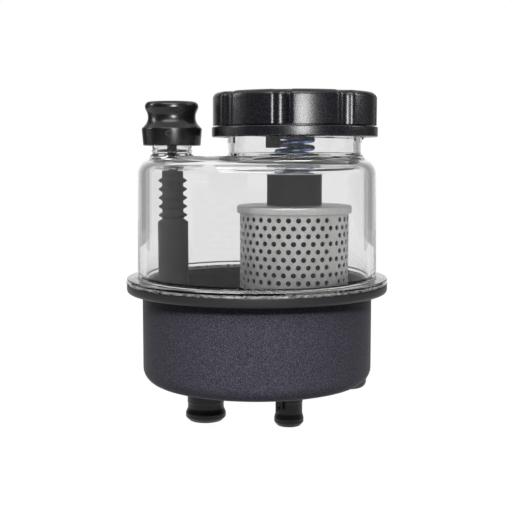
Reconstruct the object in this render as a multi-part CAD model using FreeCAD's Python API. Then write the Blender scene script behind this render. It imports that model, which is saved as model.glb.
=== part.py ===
import FreeCAD
import Part
import math
import os

# Hydraulic oil reservoir: a moulded bowl with two hose nipples, a clear cover welded to its flange,
# a screw cap that presses a spring on the return filter, and a pull-out dipstick.
# Millimetres, +Z up, -Y towards the viewer. The origin is on the bowl's axis, at the underside of
# its flange, where a ring bracket carries the reservoir.

# Bowl
flange_radius = 80.0
flange_height = 5.7
flange_lower_round = 2.2
bowl_radius = 70.5
bowl_wall = 3.0
bowl_depth = 55.6
bowl_corner_round = 9.5
rim_wall = 1.5
ledge_drop = 6.2
weld_rib_width = 2.4
weld_rib_height = 0.3
flange_edge_round = 0.4

# Foot boss under the bowl's floor
foot_x = 57.0
foot_y = 12.0
foot_radius = 12.0
foot_height = 10.5
foot_round = 9.0

# Hose nipples under the bowl's floor
suction_x = -32.0
suction_radius = 11.2
suction_bead_radius = 12.5
suction_length = 25.9
return_x = 20.0
return_radius = 7.7
return_bead_radius = 9.0
return_length = 29.3
nipple_wall = 2.4
bead_land = 2.6
bead_ramp = 3.0
bead_ramp_round = 2.0
tip_length = 2.4
tip_round = 0.8
nipple_collar_step = 1.4
nipple_collar_length = 14.0
nipple_collar_round = 0.6
tab_size = 4.2
tab_thickness = 2.0
tab_hole_radius = 0.7

# Clear cover
cover_flange_height = 3.0
cover_foot_radius = 73.4
cover_draft = 0.8
cover_wall = 3.0
cover_height = 77.0
shoulder_round = 11.0
cover_foot_fillet = 1.2
cover_flange_round = 0.6

# Filler neck, over the filter
filter_x = 23.0
neck_radius = 40.5
neck_wall = 3.0
neck_height = 32.0
neck_pad = 1.4
neck_rim_round = 0.5
stop_lug_size = 3.4
stop_lug_width = 5.0
stop_lug_clearance = 0.4
stop_lug_angles = (61.0, -66.0)

# Dipstick neck
gauge_x = -52.0
gauge_neck_radius = 12.0
gauge_neck_wall = 2.0
gauge_neck_height = 13.0
snap_bead = 0.6
snap_bead_height = 2.0

# Filler cap
cap_top = 3.5
cap_skirt_below_neck_top = 20.6
thread_room = 3.0
rim_radius = 51.8
rim_height = 6.2
lobe_radius = 51.2
lobe_count = 8
lobe_phase = -12.5
groove_depth = 3.0
groove_round = 3.0
lobe_edge_round = 3.6
cap_top_round = 3.4
rim_gap = 0.8
rim_gap_depth = 1.0
rim_lower_round = 0.6
rim_upper_round = 0.8
grip_chamfer = 0.6
cap_plug_wall = 2.4
cap_plug_length = 7.0
cap_plug_clearance = 0.5
gasket_thickness = 2.5
gasket_inset = 0.6

# Spring retainer, clipped on the cap's hub
hub_radius = 5.0
hub_clearance = 0.3
hub_tail = 3.0
hub_round = 0.6
retainer_radius = 17.0
retainer_thickness = 3.5
retainer_ring_wall = 1.3
retainer_ring_height = 7.0
leg_radius = 19.5
leg_thickness = 3.0
leg_length = 30.0
leg_half_angle = 10.0
leg_foot_half_angle = 16.0
leg_foot_height = 8.0
leg_direction = -48.0
clip_thickness = 1.4
clip_groove_depth = 0.8
clip_width = 3.2
clip_fit = 0.05

# Filter spring
spring_radius = 11.0
spring_wire = 3.0
spring_turns = 8.6
spring_seat_gap = 0.15

# Spring post and plate on top of the filter
post_radius = 16.85
post_height = 19.2
post_wall = 2.6
post_round = 0.4
plate_radius = 17.2
plate_thickness = 1.2
plate_centre_height = 2.6
plate_edge_round = 0.3
plate_centre_round = 0.6

# Return filter
filter_height = 50.8
end_cap_radius = 35.35
end_cap_sheet = 0.8
end_cap_skirt = 4.6
end_cap_round = 1.2
screen_radius = 33.5
screen_sheet = 0.7
screen_hole_radius = 2.0
screen_holes_round = 17
screen_rows = 7
screen_margin = 4.4
pleat_count = 40
pleat_paper = 0.7
pleat_clearance = 0.4
core_radius = 15.5
core_sheet = 0.8
core_hole_radius = 2.5
core_holes_round = 8
core_rows = 5
bottom_cap_rim = 4.0
bottom_cap_round = 0.3
grommet_lip = 1.7
grommet_height = 1.8
grommet_wall = 3.8
grommet_round = 0.6

# Return pipe between the floor and the filter
pipe_radius = 9.0
pipe_wall = 2.4
pipe_fit = 0.08
pipe_into_filter = 6.0
socket_wall = 3.8
socket_height = 8.0
pipe_seal_height = 2.0
pipe_collar_height = 2.5
pipe_collar_step = 3.5
pipe_tip_round = 0.8

# Baffle plate at the level of the flange
baffle_thickness = 2.5
baffle_clearance = 0.3
baffle_hole_radius = 5.0
baffle_hole_inset = 12.0
baffle_hole_count = 5
baffle_hole_step = 15.0
baffle_hole_direction = 270.0

# Dipstick
gauge_seal_thickness = 1.6
gauge_skirt_clearance = 1.2
gauge_skirt_below_neck_top = 6.8
gauge_ring_radius = 18.4
gauge_ring_foot_radius = 17.5
gauge_ring_height = 10.4
gauge_ring_round = 1.0
gauge_skirt_round = 0.8
gauge_waist_radius = 13.1
gauge_waist_round = 7.0
gauge_waist_rise = 5.6
gauge_lip_radius = 16.3
gauge_lip_height = 4.0
gauge_lip_round = 1.4
gauge_cap_height = 26.8
gauge_cap_round = 2.6
gate_radius = 1.9
gate_depth = 0.5
gate_pin_radius = 0.9
gate_drop = 3.2
stem_spigot_radius = 4.5
stem_spigot_length = 10.0
stem_fit = 0.05
stem_plug_length = 5.6
stem_edge_round = 0.8
stem_bore_clearance = 0.4
stem_rod_radius = 3.0
stem_rod_length = 15.0
stem_core_radius = 6.6
stem_rib_radius = 8.9
stem_rib_count = 5
stem_rib_pitch = 5.35
stem_rib_base = 3.4
stem_rib_tip = 0.7
stem_body_to_first_rib = 9.0
stem_last_rib_to_gauge = 4.2
gauge_tube_radius = 9.5
gauge_tube_wall = 1.8
gauge_chamfer = 2.0
gauge_tube_round = 0.6
gauge_floor_gap = 2.0

# Levels and radii that follow from the sizes above
weld_z = flange_height + weld_rib_height
floor_z = bowl_wall - bowl_depth
bowl_bore = bowl_radius - bowl_wall
rim_bore = bowl_radius - rim_wall
ledge_z = flange_height - ledge_drop
baffle_top_z = ledge_z + baffle_thickness
cover_flange_top_z = weld_z + cover_flange_height
cover_top_z = weld_z + cover_height
neck_top_z = cover_top_z + neck_height
cap_underside_z = neck_top_z + gasket_thickness
cap_top_z = cap_underside_z + cap_top
cap_skirt_z = neck_top_z - cap_skirt_below_neck_top
cap_bore = neck_radius + thread_room
filter_z = baffle_top_z
filter_top_z = filter_z + filter_height
post_top_z = filter_top_z + post_height
plate_top_z = post_top_z + plate_thickness
retainer_z = cap_underside_z - retainer_thickness
gauge_neck_top_z = cover_top_z + gauge_neck_height
gauge_seat_z = gauge_neck_top_z + gauge_seal_thickness
gauge_skirt_z = gauge_neck_top_z - gauge_skirt_below_neck_top
gauge_cap_top_z = gauge_skirt_z + gauge_cap_height
gauge_neck_bore = gauge_neck_radius - gauge_neck_wall
overlap = 0.5


def point(radius, height):
    return FreeCAD.Vector(radius, 0, height)


def outline_face(corners):
    """A face in the XZ plane from corners (radius, height, optional rounding)."""
    edges = []
    last_end = None
    first_start = None
    for index, corner in enumerate(corners):
        here = point(corner[0], corner[1])
        rounding = corner[2] if len(corner) > 2 else 0.0
        start = here
        end = here
        arc = None
        if rounding > 0:
            before = corners[index - 1]
            after = corners[(index + 1) % len(corners)]
            to_before = (point(before[0], before[1]) - here).normalize()
            to_after = (point(after[0], after[1]) - here).normalize()
            half_angle = to_before.getAngle(to_after) / 2
            reach = rounding / math.tan(half_angle)
            middle_way = (to_before + to_after).normalize()
            centre = here + middle_way * (rounding / math.sin(half_angle))
            start = here + to_before * reach
            end = here + to_after * reach
            arc = Part.Arc(start, centre - middle_way * rounding, end).toShape()
        if last_end is None:
            first_start = start
        elif last_end.distanceToPoint(start) > 1e-6:
            edges.append(Part.LineSegment(last_end, start).toShape())
        if arc is not None:
            edges.append(arc)
        last_end = end
    edges.append(Part.LineSegment(last_end, first_start).toShape())
    return Part.Face(Part.Wire(edges))


def turned(corners, axis_x=0.0, axis_y=0.0, angle=360.0):
    """A solid turned about a vertical axis."""
    solid = outline_face(corners).revolve(FreeCAD.Vector(0, 0, 0), FreeCAD.Vector(0, 0, 1), angle)
    solid.translate(FreeCAD.Vector(axis_x, axis_y, 0))
    return solid


def ring(inner, outer, low, high, axis_x=0.0):
    return turned([(inner, low), (outer, low), (outer, high), (inner, high)], axis_x)


def rod(radius, low, high, axis_x=0.0, axis_y=0.0):
    return Part.makeCylinder(radius, high - low, FreeCAD.Vector(axis_x, axis_y, low))


def block(low_corner, high_corner):
    size = high_corner - low_corner
    return Part.makeBox(size.x, size.y, size.z, low_corner)


def turn_about(shape, axis_x, degrees):
    shape.rotate(FreeCAD.Vector(axis_x, 0, 0), FreeCAD.Vector(0, 0, 1), degrees)
    return shape


def save(name, shape):
    shape.removeSplitter().exportStep("parts/" + name + ".step")


def nipple(axis_x, radius, bead_radius, length):
    """A hose nipple with a collar, a straight shank and a bead near its tip."""
    top_z = overlap - bowl_depth
    collar_z = -bowl_depth - nipple_collar_length
    tip_z = -bowl_depth - length
    land_z = tip_z + tip_length
    land_top_z = land_z + bead_land
    return turned([
        (0, top_z),
        (radius + nipple_collar_step, top_z),
        (radius + nipple_collar_step, collar_z, nipple_collar_round),
        (radius, collar_z),
        (radius, land_top_z + bead_ramp, bead_ramp_round),
        (bead_radius, land_top_z),
        (bead_radius, land_z),
        (radius - nipple_wall / 2, tip_z, tip_round),
        (0, tip_z),
    ], axis_x)


def bowl():
    body = turned([
        (0, flange_height),
        (flange_radius, flange_height, flange_edge_round),
        (flange_radius, 0, flange_lower_round),
        (bowl_radius, 0),
        (bowl_radius, -bowl_depth, bowl_corner_round),
        (0, -bowl_depth),
    ])
    foot = turned([
        (0, floor_z),
        (foot_radius, floor_z + bowl_corner_round),
        (foot_radius, -bowl_depth - foot_height, foot_round),
        (0, -bowl_depth - foot_height),
    ], foot_x, foot_y)
    tab_z = -bowl_depth - nipple_collar_length - tab_size
    tab_x = return_x - return_radius
    tab = block(
        FreeCAD.Vector(tab_x, -return_radius - tab_thickness, tab_z),
        FreeCAD.Vector(tab_x + tab_size, 0, overlap - bowl_depth),
    )
    tab_hole = Part.makeCylinder(
        tab_hole_radius, return_radius,
        FreeCAD.Vector(tab_x + tab_size / 2, -2 * return_radius, tab_z + tab_size / 2),
        FreeCAD.Vector(0, 1, 0),
    )
    lug_x = suction_x - suction_radius
    lug = block(
        FreeCAD.Vector(lug_x - tab_size, -tab_thickness / 2, -bowl_depth - nipple_collar_length / 2),
        FreeCAD.Vector(lug_x, tab_thickness / 2, overlap - bowl_depth),
    )
    outside = [
        foot,
        nipple(suction_x, suction_radius, suction_bead_radius, suction_length),
        nipple(return_x, return_radius, return_bead_radius, return_length),
        tab.cut(tab_hole),
        lug,
    ]
    body = body.multiFuse(outside)
    cavity = turned([
        (0, flange_height + overlap),
        (rim_bore, flange_height + overlap),
        (rim_bore, ledge_z),
        (bowl_bore, ledge_z),
        (bowl_bore, floor_z, bowl_corner_round - bowl_wall),
        (0, floor_z),
    ])
    body = body.cut(cavity)
    socket_bore = pipe_radius + pipe_fit
    socket_base_z = floor_z - overlap
    socket = ring(socket_bore, socket_bore + socket_wall, socket_base_z, floor_z + socket_height, filter_x)
    rib_radius = (rim_bore + flange_radius) / 2
    rib_inner = rib_radius - weld_rib_width / 2
    rib_outer = rib_radius + weld_rib_width / 2
    rib = ring(rib_inner, rib_outer, flange_height - overlap, weld_z)
    body = body.multiFuse([socket, rib])
    suction_bore = rod(suction_radius - nipple_wall, -2 * bowl_depth, floor_z + overlap, suction_x)
    return_bore = rod(return_radius - nipple_wall, -2 * bowl_depth, floor_z + overlap, return_x)
    return body.cut(suction_bore).cut(return_bore)


def baffle_plate():
    plate = rod(rim_bore - baffle_clearance, ledge_z, baffle_top_z)
    holes = [rod(pipe_radius + baffle_clearance, ledge_z - overlap, baffle_top_z + overlap, filter_x)]
    hole_circle = rim_bore - baffle_hole_inset
    first_angle = baffle_hole_direction - baffle_hole_step * (baffle_hole_count - 1) / 2
    for index in range(baffle_hole_count):
        angle = math.radians(first_angle + index * baffle_hole_step)
        hole_x = hole_circle * math.cos(angle)
        hole_y = hole_circle * math.sin(angle)
        holes.append(rod(baffle_hole_radius, ledge_z - overlap, baffle_top_z + overlap, hole_x, hole_y))
    return plate.cut(holes)


def return_pipe():
    collar_z = floor_z + socket_height + pipe_seal_height
    collar_top_z = collar_z + pipe_collar_height
    bore = pipe_radius - pipe_wall
    return turned([
        (bore, floor_z),
        (pipe_radius, floor_z),
        (pipe_radius, collar_z),
        (pipe_radius + pipe_collar_step, collar_z),
        (pipe_radius + pipe_collar_step, collar_top_z),
        (pipe_radius, collar_top_z),
        (pipe_radius, filter_z + pipe_into_filter, pipe_tip_round),
        (bore, filter_z + pipe_into_filter),
    ], filter_x)


def pipe_seal():
    seal_z = floor_z + socket_height
    outer = pipe_radius + pipe_collar_step
    return ring(pipe_radius + pipe_fit, outer, seal_z, seal_z + pipe_seal_height, filter_x)


def neck(radius, axis_x, top_z):
    """A neck with a small moulded pad at its foot."""
    low_z = cover_top_z - cover_wall + overlap
    return turned([
        (0, low_z),
        (radius + neck_pad, low_z),
        (radius + neck_pad, cover_top_z),
        (radius, cover_top_z + neck_pad),
        (radius, top_z, neck_rim_round),
        (0, top_z),
    ], axis_x)


def stop_lug(angle):
    """A small stop on the filler neck, just under the cap's rim."""
    top_z = cap_skirt_z - stop_lug_clearance
    lug = block(
        FreeCAD.Vector(filter_x - stop_lug_width / 2, -neck_radius - thread_room, top_z - stop_lug_size),
        FreeCAD.Vector(filter_x + stop_lug_width / 2, -neck_radius + overlap, top_z),
    )
    return turn_about(lug, filter_x, angle)


def clear_cover():
    wall_top_radius = cover_foot_radius - cover_draft
    body = turned([
        (0, weld_z),
        (flange_radius, weld_z, flange_edge_round),
        (flange_radius, cover_flange_top_z, cover_flange_round),
        (cover_foot_radius, cover_flange_top_z, cover_foot_fillet),
        (wall_top_radius, cover_top_z, shoulder_round),
        (0, cover_top_z),
    ])
    bead_z = (cover_top_z + gauge_skirt_z) / 2
    bead = turned([
        (gauge_neck_radius - overlap, bead_z - snap_bead_height / 2),
        (gauge_neck_radius, bead_z - snap_bead_height / 2),
        (gauge_neck_radius + snap_bead, bead_z),
        (gauge_neck_radius, bead_z + snap_bead_height / 2),
        (gauge_neck_radius - overlap, bead_z + snap_bead_height / 2),
    ], gauge_x)
    raised = [
        neck(neck_radius, filter_x, neck_top_z),
        neck(gauge_neck_radius, gauge_x, gauge_neck_top_z),
        bead,
    ]
    raised += [stop_lug(angle) for angle in stop_lug_angles]
    body = body.multiFuse(raised)
    cavity = turned([
        (0, weld_z - overlap),
        (cover_foot_radius - cover_wall, weld_z - overlap),
        (wall_top_radius - cover_wall, cover_top_z - cover_wall, shoulder_round - cover_wall),
        (0, cover_top_z - cover_wall),
    ])
    bore_z = cover_top_z - 2 * cover_wall
    filler_bore = rod(neck_radius - neck_wall, bore_z, neck_top_z + overlap, filter_x)
    gauge_bore = rod(gauge_neck_bore, bore_z, gauge_neck_top_z + overlap, gauge_x)
    return body.cut(cavity).cut(filler_bore).cut(gauge_bore)


def polar(distance, degrees, height=0.0):
    """A point round the filler axis, counted from the front towards the right."""
    angle = math.radians(degrees)
    return FreeCAD.Vector(filter_x + distance * math.sin(angle), -distance * math.cos(angle), height)


def lobed_wire(inset, height):
    """The cap's grip outline: lobes on one circle, with round grooves between them."""
    radius = lobe_radius - inset
    edge = lobe_edge_round - inset
    groove = groove_round + inset
    groove_centre = lobe_radius - groove_depth + groove_round
    near = radius - edge
    reach = groove + edge
    half = math.degrees(math.acos((near**2 + groove_centre**2 - reach**2) / (2 * near * groove_centre)))
    step = 360.0 / lobe_count
    edges = []
    for index in range(lobe_count):
        angle = lobe_phase + index * step
        centre = polar(groove_centre, angle, height)
        joints = []
        for side in (-1, 1):
            edge_centre = polar(near, angle + side * half, height)
            on_lobe = polar(radius, angle + side * half, height)
            on_groove = centre + (edge_centre - centre).normalize() * groove
            way = ((on_lobe - edge_centre) + (on_groove - edge_centre)).normalize()
            joints.append((on_lobe, edge_centre + way * edge, on_groove))
        left, right = joints
        deepest = polar(groove_centre - groove, angle, height)
        next_lobe = polar(radius, angle + step - half, height)
        edges.append(Part.Arc(*left).toShape())
        edges.append(Part.Arc(left[2], deepest, right[2]).toShape())
        edges.append(Part.Arc(right[2], right[1], right[0]).toShape())
        edges.append(Part.Arc(right[0], polar(radius, angle + step / 2, height), next_lobe).toShape())
    return Part.Wire(edges)


def edges_at(solid, height):
    return [
        edge for edge in solid.Edges
        if abs(edge.BoundBox.ZMin - height) < 1e-4 and abs(edge.BoundBox.ZMax - height) < 1e-4
    ]


def filler_cap():
    rim_top_z = cap_skirt_z + rim_height
    grip_z = rim_top_z + rim_gap
    up = FreeCAD.Vector(0, 0, 1)
    grip = Part.Face(lobed_wire(0.0, grip_z)).extrude(up * (cap_top_z - grip_z))
    grip = grip.makeFillet(cap_top_round, edges_at(grip, cap_top_z))
    grip = grip.makeChamfer(grip_chamfer, edges_at(grip, grip_z))
    gap = Part.Face(lobed_wire(rim_gap_depth, rim_top_z - overlap)).extrude(up * (rim_gap + 2 * overlap))
    rim = turned([
        (0, cap_skirt_z),
        (rim_radius, cap_skirt_z, rim_lower_round),
        (rim_radius, rim_top_z, rim_upper_round),
        (0, rim_top_z),
    ], filter_x)
    body = rim.multiFuse([gap, grip])
    body = body.cut(rod(cap_bore, cap_skirt_z - overlap, cap_underside_z, filter_x))
    plug_radius = neck_radius - neck_wall - cap_plug_clearance
    plug = ring(
        plug_radius - cap_plug_wall, plug_radius,
        cap_underside_z - cap_plug_length, cap_underside_z + overlap, filter_x,
    )
    groove_top_z = retainer_z
    groove_z = groove_top_z - clip_thickness
    groove_radius = hub_radius - clip_groove_depth
    hub = turned([
        (0, groove_z - hub_tail),
        (hub_radius, groove_z - hub_tail, hub_round),
        (hub_radius, groove_z),
        (groove_radius, groove_z),
        (groove_radius, groove_top_z),
        (hub_radius, groove_top_z),
        (hub_radius, cap_underside_z + overlap),
        (0, cap_underside_z + overlap),
    ], filter_x)
    return body.multiFuse([plug, hub])


def cap_gasket():
    inner = neck_radius - neck_wall + gasket_inset
    return ring(inner, cap_bore - gasket_inset, neck_top_z, cap_underside_z, filter_x)


def retainer_leg():
    """The leg beside the spring, wider at its foot."""
    inner = leg_radius - leg_thickness
    low_z = cap_underside_z - leg_length
    foot_top_z = low_z + leg_foot_height
    leg = []
    for half_angle, top_z in ((leg_half_angle, cap_underside_z), (leg_foot_half_angle, foot_top_z)):
        piece = turned(
            [(inner, low_z), (leg_radius, low_z), (leg_radius, top_z), (inner, top_z)],
            filter_x, 0.0, 2 * half_angle,
        )
        leg.append(turn_about(piece, filter_x, leg_direction - 90.0 - half_angle))
    return leg[0].fuse(leg[1])


def spring_retainer():
    ring_outer = spring_radius - spring_wire / 2 - spring_seat_gap
    disc = ring(hub_radius + hub_clearance, retainer_radius, retainer_z, cap_underside_z, filter_x)
    guide = ring(
        ring_outer - retainer_ring_wall, ring_outer,
        retainer_z - retainer_ring_height, retainer_z + overlap, filter_x,
    )
    return disc.multiFuse([guide, retainer_leg()])


def retainer_clip():
    inner = hub_radius - clip_groove_depth + clip_fit
    clip = ring(inner, inner + clip_width, retainer_z - clip_thickness, retainer_z, filter_x)
    mouth = block(
        FreeCAD.Vector(filter_x - inner / 2, 0, retainer_z - 2 * clip_thickness),
        FreeCAD.Vector(filter_x + inner / 2, 2 * inner + clip_width, retainer_z + overlap),
    )
    return clip.cut(mouth)


def filter_spring():
    """A compression spring with ground ends."""
    length = retainer_z - plate_top_z
    pitch = length / spring_turns
    helix = Part.makeHelix(pitch, length + 2 * pitch, spring_radius)
    rise = math.atan2(pitch, 2 * math.pi * spring_radius)
    along = FreeCAD.Vector(0, math.cos(rise), math.sin(rise))
    section = Part.Wire(Part.makeCircle(spring_wire / 2, FreeCAD.Vector(spring_radius, 0, 0), along))
    coil = Part.Wire(helix).makePipeShell([section], True, True)
    coil.translate(FreeCAD.Vector(filter_x, 0, plate_top_z - pitch))
    return coil.common(rod(2 * spring_radius, plate_top_z, retainer_z, filter_x))


def spring_plate():
    centre = spring_radius - spring_wire / 2 - spring_seat_gap
    return turned([
        (0, post_top_z),
        (plate_radius, post_top_z),
        (plate_radius, plate_top_z, plate_edge_round),
        (centre, plate_top_z),
        (centre, plate_top_z + plate_centre_height, plate_centre_round),
        (0, plate_top_z + plate_centre_height),
    ], filter_x)


def spring_post():
    return turned([
        (post_radius - post_wall, filter_top_z),
        (post_radius, filter_top_z),
        (post_radius, post_top_z, post_round),
        (0, post_top_z),
        (0, post_top_z - post_wall),
        (post_radius - post_wall, post_top_z - post_wall),
    ], filter_x)


def filter_top_cap():
    sheet = end_cap_sheet
    skirt_z = filter_top_z - end_cap_skirt
    return turned([
        (0, filter_top_z),
        (end_cap_radius, filter_top_z, end_cap_round),
        (end_cap_radius, skirt_z),
        (end_cap_radius - sheet, skirt_z),
        (end_cap_radius - sheet, filter_top_z - sheet),
        (0, filter_top_z - sheet),
    ], filter_x)


def perforated_tube(radius, sheet, low, high, hole_radius, around, rows, first, last):
    """A tube with staggered rows of round holes."""
    tube = ring(radius - sheet, radius, low, high, filter_x)
    step = 360.0 / around
    holes = []
    for row in range(rows):
        row_z = first + (last - first) * row / (rows - 1)
        for index in range(around):
            degrees = (index + 0.5 * (row % 2)) * step
            way = polar(1.0, degrees) - polar(0.0, degrees)
            start = polar(radius - 2 * sheet, degrees, row_z)
            holes.append(Part.makeCylinder(hole_radius, 3 * sheet, start, way))
    return tube.cut(holes)


def filter_screen():
    low = filter_z
    high = filter_top_z - end_cap_sheet
    first = filter_top_z - end_cap_skirt - screen_margin
    last = filter_z + bottom_cap_rim + screen_hole_radius
    return perforated_tube(
        screen_radius, screen_sheet, low, high,
        screen_hole_radius, screen_holes_round, screen_rows, first, last,
    )


def filter_core():
    low = filter_z + end_cap_sheet
    high = filter_top_z - end_cap_sheet
    margin = 3 * core_hole_radius
    return perforated_tube(
        core_radius, core_sheet, low, high,
        core_hole_radius, core_holes_round, core_rows, low + margin, high - margin,
    )


def star_wire(outer, inner, height):
    step = 180.0 / pleat_count
    corners = []
    for index in range(2 * pleat_count):
        corners.append(polar(inner if index % 2 else outer, index * step, height))
    return Part.makePolygon(corners + corners[:1])


def filter_pleats():
    low = filter_z + end_cap_sheet
    high = filter_top_z - end_cap_sheet
    outer = screen_radius - screen_sheet - 3 * pleat_clearance
    inner = core_radius + pleat_clearance
    radial = pleat_paper / math.sin(math.pi / pleat_count)
    radial = min(radial, (outer - inner) / 3)
    face = Part.Face([star_wire(outer, inner + radial, low), star_wire(outer - radial, inner, low)])
    return face.extrude(FreeCAD.Vector(0, 0, high - low))


def filter_bottom_cap():
    sheet = end_cap_sheet
    outer = screen_radius - screen_sheet - pleat_clearance / 2
    hole = pipe_radius + pipe_fit + grommet_wall
    return turned([
        (hole, filter_z),
        (outer, filter_z, bottom_cap_round),
        (outer, filter_z + bottom_cap_rim),
        (outer - sheet, filter_z + bottom_cap_rim),
        (outer - sheet, filter_z + sheet),
        (hole, filter_z + sheet),
    ], filter_x)


def filter_grommet():
    inner = pipe_radius + pipe_fit
    outer = inner + grommet_wall - pipe_fit
    lip_z = filter_z + end_cap_sheet
    return turned([
        (inner, filter_z),
        (outer, filter_z),
        (outer, lip_z),
        (outer + grommet_lip, lip_z),
        (outer + grommet_lip, lip_z + grommet_height, grommet_round),
        (inner, lip_z + grommet_height, grommet_round),
    ], filter_x)


def dipstick_cap():
    ring_top_z = gauge_skirt_z + gauge_ring_height
    waist_z = ring_top_z + gauge_waist_rise
    body = turned([
        (0, gauge_seat_z),
        (gauge_neck_radius + gauge_skirt_clearance, gauge_seat_z),
        (gauge_neck_radius + gauge_skirt_clearance, gauge_skirt_z),
        (gauge_ring_foot_radius, gauge_skirt_z, gauge_skirt_round),
        (gauge_ring_radius, ring_top_z, gauge_ring_round),
        (gauge_waist_radius, waist_z, gauge_waist_round),
        (gauge_lip_radius, gauge_cap_top_z - gauge_lip_height, gauge_lip_round),
        (gauge_lip_radius, gauge_cap_top_z, gauge_cap_round),
        (0, gauge_cap_top_z),
    ], gauge_x)
    socket = rod(
        stem_spigot_radius + stem_fit, gauge_seat_z - overlap,
        gauge_seat_z + stem_spigot_length, gauge_x,
    )
    gate_z = ring_top_z - gate_drop
    gate_face = -(gauge_ring_radius + gauge_ring_foot_radius) / 2
    gate = Part.makeCylinder(
        gate_radius, 2 * gate_depth,
        FreeCAD.Vector(gauge_x - gate_radius, gate_face - gate_depth, gate_z), FreeCAD.Vector(0, 1, 0),
    )
    pin = Part.makeCylinder(
        gate_pin_radius, 2 * gate_depth,
        FreeCAD.Vector(gauge_x - gate_radius, gate_face - gate_depth, gate_z), FreeCAD.Vector(0, 1, 0),
    )
    return body.cut(socket).cut(gate.cut(pin))


def dipstick_seal():
    inner = gauge_neck_bore
    outer = gauge_neck_radius + gauge_skirt_clearance / 2
    return ring(inner, outer, gauge_neck_top_z, gauge_seat_z, gauge_x)


def gauge_stem():
    plug_radius = gauge_neck_bore - stem_bore_clearance
    plug_z = gauge_seat_z - stem_plug_length
    body_z = plug_z - stem_rod_length
    outline = [
        (0, gauge_seat_z + stem_spigot_length - stem_fit),
        (stem_spigot_radius, gauge_seat_z + stem_spigot_length - stem_fit),
        (stem_spigot_radius, gauge_seat_z),
        (plug_radius, gauge_seat_z),
        (plug_radius, plug_z, stem_edge_round),
        (stem_rod_radius, plug_z),
        (stem_rod_radius, body_z),
        (stem_core_radius, body_z, stem_edge_round),
    ]
    first_rib_z = body_z - stem_body_to_first_rib
    for index in range(stem_rib_count):
        rib_z = first_rib_z - index * stem_rib_pitch
        outline.append((stem_core_radius, rib_z + stem_rib_base / 2))
        outline.append((stem_rib_radius, rib_z + stem_rib_tip / 2))
        outline.append((stem_rib_radius, rib_z - stem_rib_tip / 2))
        outline.append((stem_core_radius, rib_z - stem_rib_base / 2))
    gauge_z = first_rib_z - (stem_rib_count - 1) * stem_rib_pitch - stem_last_rib_to_gauge
    tube_end_z = baffle_top_z + gauge_floor_gap
    tube_bore = gauge_tube_radius - gauge_tube_wall
    outline += [
        (stem_core_radius, gauge_z + gauge_chamfer),
        (gauge_tube_radius, gauge_z),
        (gauge_tube_radius, tube_end_z, gauge_tube_round),
        (tube_bore, tube_end_z),
        (tube_bore, gauge_z - gauge_tube_wall),
        (0, gauge_z - gauge_tube_wall),
    ]
    return turned(outline, gauge_x)


PIECES = [
    bowl, baffle_plate, return_pipe, pipe_seal, clear_cover,
    filler_cap, cap_gasket, spring_retainer, retainer_clip,
    filter_spring, spring_plate, spring_post,
    filter_top_cap, filter_screen, filter_pleats, filter_core, filter_bottom_cap, filter_grommet,
    dipstick_cap, dipstick_seal, gauge_stem,
]


def main():
    os.makedirs("parts", exist_ok=True)
    for piece in PIECES:
        save(piece.__name__, piece())


main()
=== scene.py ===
import math

import bpy
from bpy.props import FloatProperty, FloatVectorProperty, IntProperty, PointerProperty
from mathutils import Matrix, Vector


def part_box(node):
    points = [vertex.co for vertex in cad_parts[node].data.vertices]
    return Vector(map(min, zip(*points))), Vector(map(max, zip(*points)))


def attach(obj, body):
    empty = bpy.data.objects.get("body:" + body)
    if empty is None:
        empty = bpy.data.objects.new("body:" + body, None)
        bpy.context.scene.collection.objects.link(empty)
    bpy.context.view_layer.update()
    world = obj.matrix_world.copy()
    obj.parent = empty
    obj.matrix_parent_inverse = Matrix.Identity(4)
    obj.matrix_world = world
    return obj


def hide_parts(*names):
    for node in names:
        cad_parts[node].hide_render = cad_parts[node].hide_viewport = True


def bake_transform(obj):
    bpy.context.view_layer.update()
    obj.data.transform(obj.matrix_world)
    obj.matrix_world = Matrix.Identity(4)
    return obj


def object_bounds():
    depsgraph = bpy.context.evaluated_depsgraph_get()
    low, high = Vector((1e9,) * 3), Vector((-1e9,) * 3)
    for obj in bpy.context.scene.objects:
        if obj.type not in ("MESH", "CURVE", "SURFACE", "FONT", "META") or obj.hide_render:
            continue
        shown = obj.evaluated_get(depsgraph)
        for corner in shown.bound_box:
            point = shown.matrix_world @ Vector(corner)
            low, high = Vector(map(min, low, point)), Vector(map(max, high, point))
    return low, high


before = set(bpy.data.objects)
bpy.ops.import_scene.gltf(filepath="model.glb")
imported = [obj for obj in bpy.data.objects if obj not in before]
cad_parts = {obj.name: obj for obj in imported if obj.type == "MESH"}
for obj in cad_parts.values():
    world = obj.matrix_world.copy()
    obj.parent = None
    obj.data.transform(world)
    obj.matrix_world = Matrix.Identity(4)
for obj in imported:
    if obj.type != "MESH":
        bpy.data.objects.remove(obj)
CAD_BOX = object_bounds()

bl_info = {
    "name": "Hydraulic oil reservoir",
    "version": (1, 0, 0),
    "blender": (4, 5, 0),
    "location": "View3D > Sidebar > Reservoir",
    "description": "Dresses the solids of a clear-topped hydraulic oil reservoir",
    "category": "Object",
}

ARC_STEPS = 8
TURN_STEPS = 192
NECK_STEPS = 128
NIPPLE_STEPS = 96
SMOOTH_ANGLE = math.radians(35)
MERGE = 1e-6
DOT = 0.001
CUT_MARGIN = 0.002
OVERLAP = 0.0005
GRAIN_SCALE = 1700.0
GRAIN_DETAIL = 2.0
GRAIN_STRENGTH = 0.7
SHEEN = 0.4
CLEAR_IOR = 1.49
CLEAR_BOUNCES = 32
ALONG_Y = (math.pi / 2, 0, 0)
UP = Vector((0, 0, 1))


def length(name, description, default):
    return FloatProperty(
        name=name, description=description, default=default, subtype="DISTANCE", unit="LENGTH",
    )


def colour(name, description, default):
    return FloatVectorProperty(
        name=name, description=description, default=default, subtype="COLOR", size=3, min=0.0, max=1.0,
    )


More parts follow.
